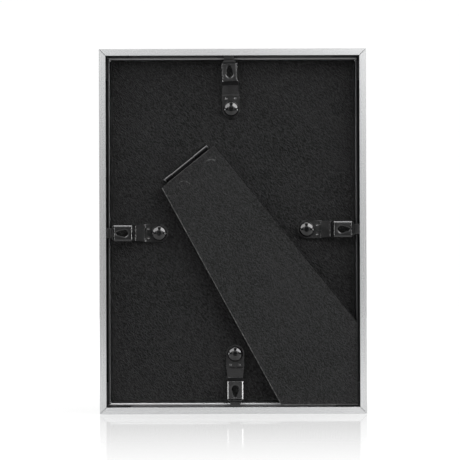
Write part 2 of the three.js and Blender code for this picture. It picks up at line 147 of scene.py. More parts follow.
print("pieces are drawn at", round(1 / MM), "to one")

# %% [markdown]
# ## Node materials
# A material here is a small tree that starts from Object coordinates. As every object sits at the
# origin, those are the coordinates of the whole frame, so grain keeps its true scale on each
# piece. A few short helpers add a node and link it, which keeps the recipes below readable.

# %% Helpers for materials
class Tree:
    def __init__(self, name):
        self.material = bpy.data.materials.new(name)
        self.material.use_nodes = True
        self.nodes = self.material.node_tree.nodes
        self.links = self.material.node_tree.links
        self.shader = self.nodes["Principled BSDF"]
        self.output = self.nodes["Material Output"]
        self.place = self.add("ShaderNodeTexCoord").outputs["Object"]
        axes = self.add("ShaderNodeSeparateXYZ")
        self.links.new(self.place, axes.inputs[0])
        self.depth, self.height = axes.outputs["Y"], axes.outputs["Z"]

    def add(self, kind, **settings):
        node = self.nodes.new(kind)
        for key, value in settings.items():
            setattr(node, key, value)
        return node

    def feed(self, socket, value):
        if isinstance(value, bpy.types.NodeSocket):
            self.links.new(value, socket)
        else:
            socket.default_value = value

    def mapped(self, scale=(1, 1, 1), turn=(0, 0, 0), at=(0, 0, 0), source=None):
        node = self.add("ShaderNodeMapping", vector_type="POINT")
        self.feed(node.inputs["Vector"], source or self.place)
        node.inputs["Scale"].default_value = scale
        node.inputs["Rotation"].default_value = [math.radians(a) for a in turn]
        node.inputs["Location"].default_value = at
        return node.outputs["Vector"]

    def noise(self, vector, scale, detail=3, roughness=0.5, distortion=0):
        node = self.add("ShaderNodeTexNoise")
        self.feed(node.inputs["Vector"], vector)
        node.inputs["Scale"].default_value = scale
        node.inputs["Detail"].default_value = detail
        node.inputs["Roughness"].default_value = roughness
        node.inputs["Distortion"].default_value = distortion
        return node.outputs["Fac"]

    def math(self, operation, a, b=0.0, clamp=False):
        node = self.add("ShaderNodeMath", operation=operation, use_clamp=clamp)
        self.feed(node.inputs[0], a)
        self.feed(node.inputs[1], b)
        return node.outputs[0]

    def span(self, value, from_low, from_high, to_low=0.0, to_high=1.0):
        node = self.add("ShaderNodeMapRange")
        for name, v in (("Value", value), ("From Min", from_low), ("From Max", from_high),
                        ("To Min", to_low), ("To Max", to_high)):
            self.feed(node.inputs[name], v)
        return node.outputs[0]

    def mix(self, factor, a, b):
        node = self.add("ShaderNodeMix", data_type="RGBA")
        self.feed(node.inputs[0], factor)
        for socket, colour in ((node.inputs[6], a), (node.inputs[7], b)):
            if isinstance(colour, bpy.types.NodeSocket):
                self.links.new(colour, socket)
            else:
                socket.default_value = (*colour, 1)
        return node.outputs[2]

    def bump(self, height, strength, distance, below=None):
        node = self.add("ShaderNodeBump")
        self.feed(node.inputs["Height"], height)
        node.inputs["Strength"].default_value = strength
        node.inputs["Distance"].default_value = distance
        if below is not None:
            self.links.new(below, node.inputs["Normal"])
        return node.outputs["Normal"]

    def surface(self, colour, rough, normal=None, **fixed):
        plain = isinstance(colour, tuple)
        self.feed(self.shader.inputs["Base Color"], (*colour, 1) if plain else colour)
        self.feed(self.shader.inputs["Roughness"], rough)
        if normal is not None:
            self.links.new(normal, self.shader.inputs["Normal"])
        for key, value in fixed.items():
            self.shader.inputs[key.replace("_", " ")].default_value = value
        return self.material


print("a tree can add", ", ".join(name for name in vars(Tree) if not name.startswith("_")))

# %% [markdown]
# ## Satin anodised aluminium
# The rails are extruded, finely brushed and anodised. An anisotropic shader could smear the
# highlights as brushing does, but real lines also hold up close to. Brushing leaves them along the
# rail, so the pattern is noise that is stretched along it. The lines change the roughness and the
# height far more than the colour. Upright and level rails need their own direction, so the recipe
# takes it as a value. The inside of the section isn't brushed. It stays dull, and its colour is
# painted darker where little light reaches it, as painted shade: darker on the top rail and darkest
# on the uprights. The small roundings on the edges take that inside colour too, as painted shade
# that tones down their highlights. The sawn ends in the mitres are painted darker still, as painted
# shade in the mitre gap.

# %% Aluminium
def anodised(name, stretch, low, high, rough_low, rough_high, relief):
    t = Tree(name)
    along = t.mapped(scale=stretch)
    lines = t.noise(along, 1600, 2, 0.5)
    bands = t.noise(along, 900, 1)
    broad = t.noise(t.place, 22, 2)
    brushed = t.math("ADD", t.math("MULTIPLY", lines, 0.6), t.math("MULTIPLY", bands, 0.4))
    tone = t.mix(t.span(brushed, 0.35, 0.65), low, high)
    tone = t.mix(t.span(broad, 0.35, 0.7, 0, 0.3), tone, low)
    rough = t.span(brushed, 0.35, 0.65, rough_high, rough_low)
    return t.surface(tone, rough, t.bump(brushed, relief, 0.00002), Metallic=1)


# Darker and lighter tone, roughness of the lighter and of the darker lines, and relief.
BRUSHED = ((0.68, 0.685, 0.69), (0.78, 0.785, 0.79), 0.24, 0.28, 0.02)
MILLED = ((0.30, 0.30, 0.305), (0.48, 0.48, 0.485), 0.38, 0.50, 0.15)
# Painted shade: the top and upright inside tones are darker copies of the same dull inside finish.
TOP_INSIDE_SHADE = ((0.20, 0.20, 0.202), (0.32, 0.32, 0.322), 0.38, 0.50, 0.15)
UPRIGHT_INSIDE_SHADE = ((0.03, 0.03, 0.031), (0.08, 0.08, 0.082), 0.38, 0.50, 0.15)
# Painted shade: the mitre end tone is near black for the dark line of shade in the mitre gap.
MITRE_GAP_SHADE = ((0.02, 0.02, 0.021), (0.05, 0.05, 0.051), 0.50, 0.60, 0.15)
aluminium_level = anodised("satin_aluminium_level", (0.005, 1, 1), *BRUSHED)
aluminium_upright = anodised("satin_aluminium_upright", (1, 1, 0.005), *BRUSHED)
inside_level = anodised("dull_aluminium_level", (0.005, 1, 1), *MILLED)
# The top and upright inside materials carry painted shade in their colour.
shaded_inside_top = anodised("dull_aluminium_painted_shade_top", (0.005, 1, 1), *TOP_INSIDE_SHADE)
shaded_inside_upright = anodised("dull_aluminium_painted_shade_upright", (1, 1, 0.005), *UPRIGHT_INSIDE_SHADE)
# The mitre end material is painted shade for the mitre gap.
mitre_gap_shade = anodised("sawn_aluminium_painted_shade", (1, 0.1, 1), *MITRE_GAP_SHADE)
print("made", aluminium_level.name, "and", inside_level.name)

# %% [markdown]
# ## Black lacquer and bare steel
# The clips, their rivets and the hinge are stamped steel dipped in black lacquer. A plain glossy
# black would look like plastic. A thin coat of lacquer is not quite flat: it has a fine orange
# peel, a few duller patches and specks of dust. The hidden rivets are zinc plated, and the pin and
# the corner keys are phosphated steel. Both look mottled, so one recipe with two tones makes them.

# %% Lacquer and steel
def lacquer(name, rough_low, rough_high):
    t = Tree(name)
    peel = t.noise(t.place, 900, 2)
    patches = t.noise(t.place, 160, 3)
    dust = t.span(t.noise(t.place, 2600, 1), 0.70, 0.80, 0, 0.5)
    colour = t.mix(t.span(patches, 0.3, 0.7), (0.002, 0.002, 0.0022), (0.005, 0.005, 0.0052))
    colour = t.mix(dust, colour, (0.06, 0.06, 0.06))
    rough = t.span(patches, 0.3, 0.7, rough_low, rough_high)
    return t.surface(colour, rough, t.bump(peel, 0.10, 0.00005), IOR=1.55)


def plated(name, dark, light):
    t = Tree(name)
    mottle = t.noise(t.place, 700, 4, 0.65)
    colour = t.mix(t.span(mottle, 0.3, 0.7), dark, light)
    rough = t.span(mottle, 0.3, 0.7, 0.30, 0.48)
    return t.surface(colour, rough, t.bump(mottle, 0.15, 0.00003), Metallic=1)


black_lacquer = lacquer("black_lacquer", 0.16, 0.24)
glossy_lacquer = lacquer("glossy_black_lacquer", 0.07, 0.11)
zinc_steel = plated("zinc_plated_steel", (0.36, 0.37, 0.38), (0.58, 0.58, 0.57))
dark_steel = plated("phosphated_steel", (0.07, 0.07, 0.072), (0.16, 0.16, 0.162))
print("made", black_lacquer.name, "and", zinc_steel.name)

# %% [markdown]
# ## Embossed black paper
# The board is covered with paper that a roller has embossed with short wrinkles, all leaning the
# same way. They are only a fraction of a millimetre deep, so relief in the material is enough and
# a fine mesh would be wasted. Noise stretched along that slant gives the wrinkles, and a finer
# layer gives the fibres. The crests are painted a little paler than the valleys, as painted shade
# in the valleys. The strut has a finer grade of the same paper. Over the heads of the two rivets in
# the strut the paper shows faint rings, which are measured as a distance from each rivet: partly
# rubbed, and paler only on their upper side as a painted highlight. Its cut edges have a border
# that is paler on one long edge, partly wear and partly a painted highlight, and near black on the
# other as a painted shadow.

# %% Embossing
WRINKLE_SLANT = -42


def embossed(name, width_scale, depth, dark, light, specks):
    t = Tree(name)
    slanted = t.mapped(turn=(0, WRINKLE_SLANT, 0))
    wrinkles = t.noise(t.mapped(scale=(1, 1, 0.42), source=slanted), width_scale, 2, 0.55, 0.4)
    fibres = t.noise(t.place, width_scale * 2.6, 2)
    broad = t.noise(t.place, 28, 2)
    relief = t.math("ADD", wrinkles, t.math("MULTIPLY", fibres, 0.35))
    # Painted shade: the valleys of the relief are coloured darker than the crests.
    colour = t.mix(t.span(relief, 0.55, 0.9), dark, light)
    colour = t.mix(t.span(broad, 0.3, 0.75, 0, 0.22), colour, light)
    dust = t.span(t.noise(t.place, 1300, 0), 0.83, 0.87, 0, specks)
    colour = t.mix(dust, colour, (0.35, 0.35, 0.34))
    rough = t.span(relief, 0.45, 0.95, 0.50, 0.38)
    return t, colour, rough, t.bump(relief, 1, depth)


print("wrinkles slant by", WRINKLE_SLANT, "degrees")

# %% Board paper
def board_paper():
    t, colour, rough, normal = embossed(
        "embossed_black_paper", 1800, 0.00085, (0.0, 0.0, 0.0), (0.018, 0.018, 0.0182), 0.10,
    )
    return t.surface(colour, rough, normal, Specular_IOR_Level=0.07)


black_paper = board_paper()
print("made", black_paper.name)

# %% Strut paper and its rubbed rings
hinge_at = Vector(joints["strut_hinge"]["pos_m"])
hinge_along = Vector(joints["strut_hinge"]["axis"]).normalized()
hinge_up = hinge_along.cross(Vector((0, 1, 0)))
RING_SPACING = 18
RING_FROM_AXIS = 9.7
RING_RADIUS = 3.9


def strut_paper():
    t, colour, rough, normal = embossed(
        "fine_black_paper", 2400, 0.00036, (0.0, 0.0, 0.0), (0.017, 0.017, 0.0172), 0.08,
    )
    rubbed_and_highlit = 0.0
    for end in (-1, 1):
        centre = hinge_at + (hinge_along * end * RING_SPACING / 2 - hinge_up * RING_FROM_AXIS) * MM
        apart = t.add("ShaderNodeVectorMath", operation="DISTANCE")
        flat = t.mapped(scale=(1, 0, 1))
        t.feed(apart.inputs[0], flat)
        apart.inputs[1].default_value = (centre.x, 0, centre.z)
        off_ring = t.math("ABSOLUTE", t.math("SUBTRACT", apart.outputs["Value"], RING_RADIUS * MM))
        ring = t.span(off_ring, 0.0, 0.0005, 1, 0)
        # Painted highlight: only the upper side of each ring, which faces the light, is painted paler. Noise
        # breaks it up like wear.
        lit_upper_side = t.span(t.height, centre.z - 0.0006, centre.z + 0.0016)
        rubbed_and_highlit = t.math("ADD", t.math("MULTIPLY", ring, lit_upper_side), rubbed_and_highlit)
    wear_and_highlight = t.span(t.noise(t.place, 520, 2), 0.46, 0.66)
    rubbed_and_highlit = t.math("MULTIPLY", rubbed_and_highlit, wear_and_highlight, clamp=True)
    colour = t.mix(t.math("MULTIPLY", rubbed_and_highlit, 0.55), colour, (0.10, 0.10, 0.10))
    return t.surface(colour, rough, t.bump(rubbed_and_highlit, 0.4, 0.00008, below=normal), Specular_IOR_Level=0.105)


fine_paper = strut_paper()
print("made", fine_paper.name, "with rings of radius", RING_RADIUS)

# %% Edges of the paper
# Partly wear, partly a painted highlight: the rounded paper edge is painted paler where it catches the light.
def worn_and_highlit_edge():
    t = Tree("worn_and_highlit_paper_edge")
    wear_and_highlight = t.span(t.noise(t.place, 700, 4, 0.7), 0.46, 0.66)
    colour = t.mix(wear_and_highlight, (0.012, 0.012, 0.012), (0.085, 0.085, 0.083))
    return t.surface(colour, 0.75, t.bump(wear_and_highlight, 0.3, 0.00005))


# Painted shadow: a near-black edge border that stands in for the dark shadow line beside the strut.
def shadow_line_edge():
    t = Tree("painted_shadow_paper_edge")
    shadow_mottle = t.noise(t.place, 900, 2)
    colour = t.mix(t.span(shadow_mottle, 0.3, 0.7), (0.0006, 0.0006, 0.0006), (0.002, 0.002, 0.002))
    return t.surface(colour, t.span(shadow_mottle, 0.3, 0.7, 0.7, 0.9), t.bump(shadow_mottle, 0.3, 0.00005),
                     Specular_IOR_Level=0.08)


worn_and_highlit_paper = worn_and_highlit_edge()
shadow_line_paper = shadow_line_edge()
print("made", worn_and_highlit_paper.name, "and", shadow_line_paper.name)

# %% [markdown]
# ## Fibre board, card, glass and the print
# The boards and the card are pressed fibre with light and dark flecks. Hardly more than their
# edges is ever seen, so one recipe with other tones and scales is enough. The pane is float glass,
# and lamps are let through it without caustics by showing them a transparent shader. A new frame
# holds a printed sheet. Its picture isn't known, so it is a plain hazy landscape built from
# gradients.

# %% Fibre, card and glass
def fibrous(name, dark, light, scale):
    t = Tree(name)
    flecks = t.noise(t.mapped(scale=(1, 1, 0.4)), scale, 5, 0.7)
    colour = t.mix(t.span(flecks, 0.3, 0.7), dark, light)
    return t.surface(colour, t.span(flecks, 0.3, 0.7, 0.95, 0.8), t.bump(flecks, 0.3, 0.0001))


def float_glass():
    t = Tree("float_glass")
    waves = t.noise(t.place, 12, 1)
    t.surface((0.96, 0.985, 0.975), t.span(waves, 0.3, 0.7, 0.0, 0.015),
              Transmission_Weight=1, IOR=1.5)
    clear = t.add("ShaderNodeBsdfTransparent")
    clear.inputs["Color"].default_value = (0.95, 0.97, 0.96, 1)
    lamps = t.add("ShaderNodeLightPath")
    either = t.add("ShaderNodeMixShader")
    t.links.new(lamps.outputs["Is Shadow Ray"], either.inputs[0])
    t.links.new(t.shader.outputs[0], either.inputs[1])
    t.links.new(clear.outputs[0], either.inputs[2])
    t.links.new(either.outputs[0], t.output.inputs["Surface"])
    return t.material


def hazy_print():
    t = Tree("printed_landscape")
    height = t.span(t.height, stack_low.z, stack_high.z)
    colour = t.mix(t.span(height, 0.35, 1.0), (0.86, 0.80, 0.72), (0.42, 0.56, 0.70))
    ridges = ((0.52, 0.10, 9, (0.50, 0.57, 0.62)), (0.42, 0.12, 14, (0.30, 0.38, 0.40)),
              (0.27, 0.10, 11, (0.15, 0.22, 0.19)))
    for level, swing, scale, tint in ridges:
        across = t.mapped(scale=(1, 0, 0), at=(level, 0, 0))
        crest = t.math("ADD", t.math("MULTIPLY", t.noise(across, scale, 4), swing * 2), level - swing)
        inside = t.span(t.math("SUBTRACT", crest, height), -0.003, 0.003)
        colour = t.mix(inside, colour, tint)
    grain = t.noise(t.place, 4000, 2)
    return t.surface(t.mix(t.span(grain, 0.3, 0.7, 0, 0.06), colour, (0.9, 0.9, 0.9)), 0.45,
                     t.bump(grain, 0.05, 0.00002))


fibre = fibrous("pressed_fibre", (0.10, 0.075, 0.055), (0.30, 0.24, 0.18), 1400)
dyed_fibre = fibrous("dyed_fibre", (0.006, 0.006, 0.006), (0.018, 0.018, 0.018), 1600)
card = fibrous("grey_card", (0.30, 0.28, 0.25), (0.46, 0.44, 0.40), 1100)
glass = float_glass()
picture = hazy_print()
for node, material in (("board_cover_paper", black_paper), ("backing_board", fibre),
                       ("filler_card", card), ("print_insert", picture)):
    frame["nodes"][node].data.materials.clear()
    frame["nodes"][node].data.materials.append(material)
print("dressed the sheets")

# %% [markdown]
# ## Rails
# Each rail is one extrusion: a face plate in front, an outer wall, a rear lip that the clips hold
# under, and a web that keeps the sheets in place. Between the wall and the web is a channel for
# the corner keys. The section is drawn once and extruded, then each end point is drawn back by its
# own distance from the outside, which makes the mitre. Cutting the ends with a plane would do as
# well, but this keeps the whole bar as one clean extrusion. Last, all edges get a small rounding,
# as the die and the brushing leave it.

# %% Rail sizes
WALL = 1.2
WEB = 1.0
FACE_LEDGE = 3.4
LIP = 3.4
LIP_THICKNESS = 1.4
WEB_TOP = board_back + 0.4
TOUCH = 0.1
MITRE_GAP = 0.2
WEB_ROUNDING = 0.5
EDGE_ROUNDING = 0.06
rabbet = face_width - FACE_LEDGE
print("glass stands", round(rabbet, 2), "mm inside the outer edge")

# %% One rail
def side_place(turn):
    """The frame of one side: X along it, Y from front to back, Z outwards."""
    middle = Matrix.Translation((0, cad_low.y, cad_low.z + outer_height * MM / 2))
    return middle @ Matrix.Rotation(math.radians(turn), 4, "Y")


def rail(length, span, turn):
    section = [
        (0, 0), (face_width, 0), (face_width, WALL), (rabbet, WALL),
        *arc(rabbet - WEB_ROUNDING, WEB_TOP - WEB_ROUNDING, WEB_ROUNDING, 0, 90, 6),
        (rabbet - WEB, WEB_TOP), (rabbet - WEB, WALL), (WALL, WALL),
        (WALL, rail_depth - LIP_THICKNESS), (LIP, rail_depth - LIP_THICKNESS), (LIP, rail_depth),
        (0, rail_depth),
    ]
    bm = bmesh.new()
    start = bm.faces.new([bm.verts.new((0, depth, -inset)) for inset, depth in section])
    start.normal_update()
    run = bmesh.ops.extrude_face_region(bm, geom=[start])
    far = {v for v in run["geom"] if isinstance(v, bmesh.types.BMVert)}
    for v in bm.verts:
        reach = length / 2 + v.co.z - MITRE_GAP / 2
        v.co.x = reach if v in far else -reach
    bm.normal_update()
    if start.is_valid and all(len(e.link_faces) > 2 for e in start.edges):
        bmesh.ops.delete(bm, geom=[start], context="FACES_ONLY")
    for face in bm.faces:
        middle = face.calc_center_median()
        between_sides = TOUCH < -middle.z < face_width - TOUCH
        under_lip = TOUCH < middle.y < rail_depth - LIP_THICKNESS + TOUCH
        sawn = abs(face.normal.x) > TOUCH
        # Mitre end faces take the near-black painted shade of the mitre gap. Faces inside the section take the
        # inside colour.
        face.material_index = 2 if sawn else int(between_sides and under_lip)
    bmesh.ops.translate(bm, vec=(0, 0, span), verts=bm.verts)
    bmesh.ops.recalc_face_normals(bm, faces=bm.faces)
    # The roundings take the darker inside colour, as painted shade that tones down their highlights.
    for face in soften(bm, EDGE_ROUNDING, segments=3):
        face.material_index = 1
    place(bm, side_place(turn))
    return bm


# %% Four rails
# The inside colours per side are painted shade: lightest on the bottom rail, darker on the top, darkest on the
# uprights.
SIDES = {
    "top": (0, outer_height / 2, outer_width, [aluminium_level, shaded_inside_top, mitre_gap_shade]),
    "right": (90, outer_width / 2, outer_height, [aluminium_upright, shaded_inside_upright, mitre_gap_shade]),
    "bottom": (180, outer_height / 2, outer_width, [aluminium_level, inside_level, mitre_gap_shade]),
    "left": (-90, outer_width / 2, outer_height, [aluminium_upright, shaded_inside_upright, mitre_gap_shade]),
}
for side, (turn, span, length, finishes) in SIDES.items():
    piece = finished(rail(length, span, turn), f"{side}_rail_bar", [f"rail_{side}"], finishes)
    print(piece.name, len(piece.data.polygons), "faces")

# %% [markdown]
# ## Swivel clips
# A clip is punched from flat sheet and then pressed into shape. It could be pulled out of a box,
# but then the sheet would hardly keep one thickness. So it is made here in the maker's own order.
# The blank is an outline with two holes, filled as one flat face. Cuts across and along it give
# the press something to bend. The face is extruded to the thickness of the sheet, and its edges
# are eased. Last, each point rises to the height that the press gives it: a flat pad round the
# rivet, a low strip, a steep rise to a box with sloping flanks, and a tongue that goes under the
# lip of the rail.

# %% Clip sizes
SHEET = 0.8
CLIP_LIFT = 0.2
PAD_RADIUS = 4.7
STRIP_WIDTHS = (9.2, 8.0)
BOX_ROOF = 6.6
BOX_FOOT = 8.2
FLANK_DROP = 0.67
SHOULDER = 7.8
TONGUE = 5.2
BEND, STRIP_END, BOX_START, BOX_END, TONGUE_START, TIP = 6.6, 12.1, 14.15, 23.4, 25.0, 28.9
PAD_TOP = CLIP_LIFT + SHEET
STRIP_TOP = 1.7
BOX_TOP = (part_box("clip_bottom")[1].y - cad_low.y) / MM - board_back
TONGUE_TOP = BOX_TOP - 0.5
BORE = 1.7
HOLE_ROUND, HOLE_TIP = (17.9, 1.9), (21.55, 0.75)
DIMPLES = (2.4, 5.5)
DISH_DEPTH, DISH_WIDTH = 0.19, 0.75
DIMPLE_DEPTH, DIMPLE_RADIUS = 0.36, 0.62
RIM_ROUNDING = 0.22
SHEET_ROUNDING = 0.26
PROFILE = [
    (-PAD_RADIUS, PAD_TOP), (BEND, PAD_TOP), (BEND + 1, STRIP_TOP), (STRIP_END, STRIP_TOP),
    (BOX_START, BOX_TOP), (BOX_END - 0.5, BOX_TOP), (BOX_END + 0.5, BOX_TOP - 1.1),
    (TONGUE_START, TONGUE_TOP), (TIP, TONGUE_TOP),
]


print("box", round(BOX_TOP, 2), "mm above the board")

# %% Heights that the press gives
def straight(s):
    """The profile's height at a distance from the rivet, with sharp bends."""
    for (s0, h0), (s1, h1) in zip(PROFILE, PROFILE[1:]):
        if s <= s1:
            return h0 + (h1 - h0) * max(s - s0, 0) / (s1 - s0)
    return PROFILE[-1][1]


def rounded(s, reach=0.14, taps=9):
    """The profile with its bends rounded, as an average over a short reach."""
    return sum(straight(s + reach * (2 * i / (taps - 1) - 1)) for i in range(taps)) / taps


def flank(t, reach=0.25, taps=7):
    """The box's height across its width, with the bend to each flank rounded."""
    slope = FLANK_DROP / ((BOX_FOOT - BOX_ROOF) / 2)
    total = 0.0
    for i in range(taps):
        out = abs(t) + reach * (2 * i / (taps - 1) - 1) - BOX_ROOF / 2
        total += max(out, 0) * slope
    return BOX_TOP - total / taps


def from_keyhole(t, s):
    """How far a point lies outside the teardrop hole."""
    (low, big), (high, small) = HOLE_ROUND, HOLE_TIP
    along = min(max((s - low) / (high - low), 0), 1)
    return math.hypot(t, s - low - along * (high - low)) - big - along * (small - big)


def pressed(t, s):
    height = min(rounded(s), flank(t) if s > STRIP_END else BOX_TOP)
    height -= DISH_DEPTH * max(0, 1 - max(from_keyhole(t, s), 0) / DISH_WIDTH) ** 2
    for side in (-1, 1):
        off = math.hypot(t - side * DIMPLES[0], s - DIMPLES[1])
        height -= DIMPLE_DEPTH * max(0, 1 - (off / DIMPLE_RADIUS) ** 2)
    return height


print("the strip is pressed to", round(pressed(0, 10), 2), "mm and the box to", round(pressed(2.5, 18), 2))

# %% Punch the blank
def teardrop(steps=10):
    (low, big), (high, small) = HOLE_ROUND, HOLE_TIP
    slant = math.degrees(math.asin((big - small) / (high - low)))
    narrow_end = arc(0, high, small, slant, 180 - slant, steps)
    return narrow_end + arc(0, low, big, 180 - slant, 360 + slant, 2 * steps)


def clip_outline():
    half = [(PAD_RADIUS, BEND - 1), (STRIP_WIDTHS[0] / 2, BEND), (STRIP_WIDTHS[1] / 2, STRIP_END),
            (BOX_FOOT / 2, BOX_START), (BOX_FOOT / 2, BOX_END - 0.1), (SHOULDER / 2, BOX_END + 0.15),
            (TONGUE / 2, TONGUE_START), (TONGUE / 2, TIP - 0.5), (TONGUE / 2 - 0.5, TIP)]
    return arc(0, 0, PAD_RADIUS, 180, 360, 28) + half + [(-x, s) for x, s in reversed(half)]


def cut(bm, place_on, normal):
    everything = bm.verts[:] + bm.edges[:] + bm.faces[:]
    bmesh.ops.bisect_plane(bm, geom=everything, dist=1e-5, plane_co=place_on, plane_no=normal)


def spaced(start, end, step):
    count = max(1, round((end - start) / step))
    return [start + (end - start) * i / count for i in range(count + 1)]


BEND_STEP = 0.16


def blank():
    bm = bmesh.new()
    bore = arc(0, 0, BORE, 0, 345, 23)
    rims = ring_of(bm, clip_outline()) + ring_of(bm, bore) + ring_of(bm, teardrop())
    bmesh.ops.triangle_fill(bm, use_beauty=True, use_dissolve=False, edges=rims)
    bends = spaced(BEND - 0.5, BEND + 1.5, BEND_STEP)
    bends += spaced(STRIP_END - 0.5, BOX_START + 0.5, BEND_STEP)
    bends += spaced(BOX_END - 1, TONGUE_START + 0.5, BEND_STEP)
    bends += spaced(4.6, 6.1, 0.15)
    bends += spaced(BOX_START + 1, BOX_END - 0.7, 0.28)
    for s in sorted(set(bends)):
        cut(bm, (0, s, 0), (0, 1, 0))
    folds = spaced(BOX_ROOF / 2 - 0.3, BOX_ROOF / 2 + 0.3, 0.12)
    folds += spaced(1.7, 3.1, 0.14) + spaced(0.28, 1.54, 0.28)
    for t in folds:
        cut(bm, (t, 0, 0), (1, 0, 0))
        cut(bm, (-t, 0, 0), (1, 0, 0))
    return bm


trial = blank()
print("the blank has", len(trial.faces), "faces")
trial.free()

# %% Press the clips
def clip():
    bm = blank()
    down = bmesh.ops.extrude_face_region(bm, geom=bm.faces[:])
    lower = [v for v in down["geom"] if isinstance(v, bmesh.types.BMVert)]
    bmesh.ops.translate(bm, vec=(0, 0, -SHEET), verts=lower)
    bmesh.ops.recalc_face_normals(bm, faces=bm.faces)
    rim = [e for e in bm.edges if e.calc_face_angle() > 1 and all(
        v.co.z > -0.1 and abs(v.co.x) < 2 and BOX_START < v.co.y < BOX_END - 1 for v in e.verts)]
    ease(bm, rim, RIM_ROUNDING, segments=4)
    soften(bm, SHEET_ROUNDING, segments=3, angle=60)
    for v in bm.verts:
        v.co.z += pressed(v.co.x, v.co.y)
    return bm


LEAN = {"top": 2.3, "right": 0, "bottom": 0, "left": 0}
drawn_up = Matrix(((-1, 0, 0, 0), (0, 0, 1, 0), (0, 1, 0, 0), (0, 0, 0, 1)))
clip_place = {}
for side, (turn, *_rest) in SIDES.items():
    pivot = Vector(joints[f"clip_{side}_swivel"]["pos_m"])
    pivot.y = cad_low.y + board_back * MM
    clip_place[side] = Matrix.Translation(pivot) @ Matrix.Rotation(math.radians(turn + LEAN[side]), 4, "Y")
    bm = clip()
    place(bm, clip_place[side] @ drawn_up)
    piece = finished(bm, f"{side}_swivel_clip", [f"clip_{side}"], [black_lacquer], sharp=50)
    print(piece.name, len(piece.data.polygons), "faces")

# %% [markdown]
# ## Clip rivets
# The rivet has a broad head with a nearly flat top that turns down into a round shoulder, a shank
# through the clip and the board, and a clinched end in a pocket at the front of the board. It is a
# turned shape, so half of its section is drawn as a chain of edges and spun once round the axis. A
# squashed sphere would be quicker, but it has no flat top and no steep rim, and those are what
# make the dark middle and the dark ring of the head.

# %% Rivet sizes
SHANK = 1.5
CLINCH_RADIUS = 2.9
CLINCH = 0.5
HEAD_GAP = 0.12
TURNS = 64
# Radius and height, from the steep rim over the round shoulder to the nearly flat top.
DOME = [
    (4.0, 0.0), (4.09, 0.06), (4.04, 0.36), (3.9, 0.75), (3.7, 1.15), (3.5, 1.46), (3.35, 1.64),
    (3.15, 1.775), (2.95, 1.90), (2.75, 2.02), (2.55, 2.13), (2.35, 2.235), (2.15, 2.33),
    (1.95, 2.415), (1.75, 2.49), (1.6, 2.54), (1.5, 2.57), (1.35, 2.592), (1.0, 2.599), (0, 2.6),
]
print("the head is", DOME[-1][1], "mm high and", 2 * DOME[0][0], "mm wide at its foot")

# %% Clip rivets
def turned(points, steps):
    """A solid of revolution round Y from (radius, height) points that start and end on the axis."""
    bm = bmesh.new()
    verts = [bm.verts.new((r, y, 0)) for r, y in points]
    edges = [bm.edges.new(pair) for pair in zip(verts, verts[1:])]
    bmesh.ops.spin(
        bm, geom=verts + edges, cent=(0, 0, 0), axis=(0, 1, 0), dvec=(0, 0, 0),
        angle=math.tau, steps=steps, use_merge=True,
    )
    bmesh.ops.remove_doubles(bm, verts=bm.verts, dist=1e-4)
    return bm


def clip_rivet(clinch_front):
    base = PAD_TOP + HEAD_GAP
    return turned(
        [(0, clinch_front), (CLINCH_RADIUS - 0.2, clinch_front), (CLINCH_RADIUS, clinch_front + 0.15),
         (CLINCH_RADIUS, clinch_front + CLINCH), (SHANK, clinch_front + CLINCH), (SHANK, base)]
        + [(r, base + h) for r, h in DOME],
        TURNS,
    )


for side in SIDES:
    front = (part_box(f"clip_rivet_{side}")[0].y - cad_low.y) / MM - board_back
    bm = clip_rivet(front)
    place(bm, clip_place[side])
    piece = finished(bm, f"{side}_domed_rivet", [f"clip_rivet_{side}"], [glossy_lacquer],
                     sharp=40)
    print(piece.name, len(piece.data.polygons), "faces")

# %% [markdown]
# ## Corner keys, pane and small rivets
# These are plain pieces whose CAD shape is already true, so drawing them again would add nothing
# but mistakes. A copy of the CAD mesh is welded, its flat facets are joined, and its edges are
# eased by the small radius that stamping, seaming or clinching leaves. That catches a thin line of
# light, which a perfect edge never does.

# %% Pieces eased from the CAD
def eased(node, width, segments=2, angle=30):
    bm = bmesh.new()
    bm.from_mesh(frame["nodes"][node].data)
    bmesh.ops.remove_doubles(bm, verts=bm.verts, dist=1e-6)
    bmesh.ops.dissolve_limit(bm, angle_limit=math.radians(1), verts=bm.verts, edges=bm.edges)
    soften(bm, width * MM, segments, angle)
    return bm


PLAIN_PIECES = [
    ("glass_pane", "seamed_pane", 0.3, glass, "pane_glass"),
    ("hinge_pin", "hinge_pin_rod", 0.08, dark_steel, "bare_steel"),
    ("hinge_board_leaf", "rolled_board_leaf", 0.2, glossy_lacquer, "black_steel"),
    ("strut_core", "strut_board", 0.3, dyed_fibre, "board_fibre"),
]
for corner in ("top_right", "bottom_right", "bottom_left", "top_left"):
    PLAIN_PIECES.append((f"corner_key_{corner}", f"{corner}_key", 0.2, dark_steel, "key_steel"))
for end in ("a", "b"):
    PLAIN_PIECES.append((f"board_leaf_rivet_{end}", f"board_rivet_{end}", 0.12, zinc_steel, "bare_steel"))
    PLAIN_PIECES.append((f"strut_leaf_rivet_{end}", f"strut_rivet_{end}", 0.12, zinc_steel, "bare_steel"))
for node, name, width, material, slot in PLAIN_PIECES:
    piece = finished(eased(node, width), name, [node], [material])
print("eased", len(PLAIN_PIECES), "pieces")

# %% [markdown]
# ## Strut leaf of the hinge
# The knuckle of the strut leaf is rolled a little tighter than those of the board leaf, and the
# sheet dips where it leaves the roll. Both show as a broken line of light along the hinge with a
# dark groove beside it. The CAD leaf already has its outline, its roll and its holes, so a copy of
# it is reshaped instead of drawn again. Cuts across the neck of the leaf give it something to
# bend.

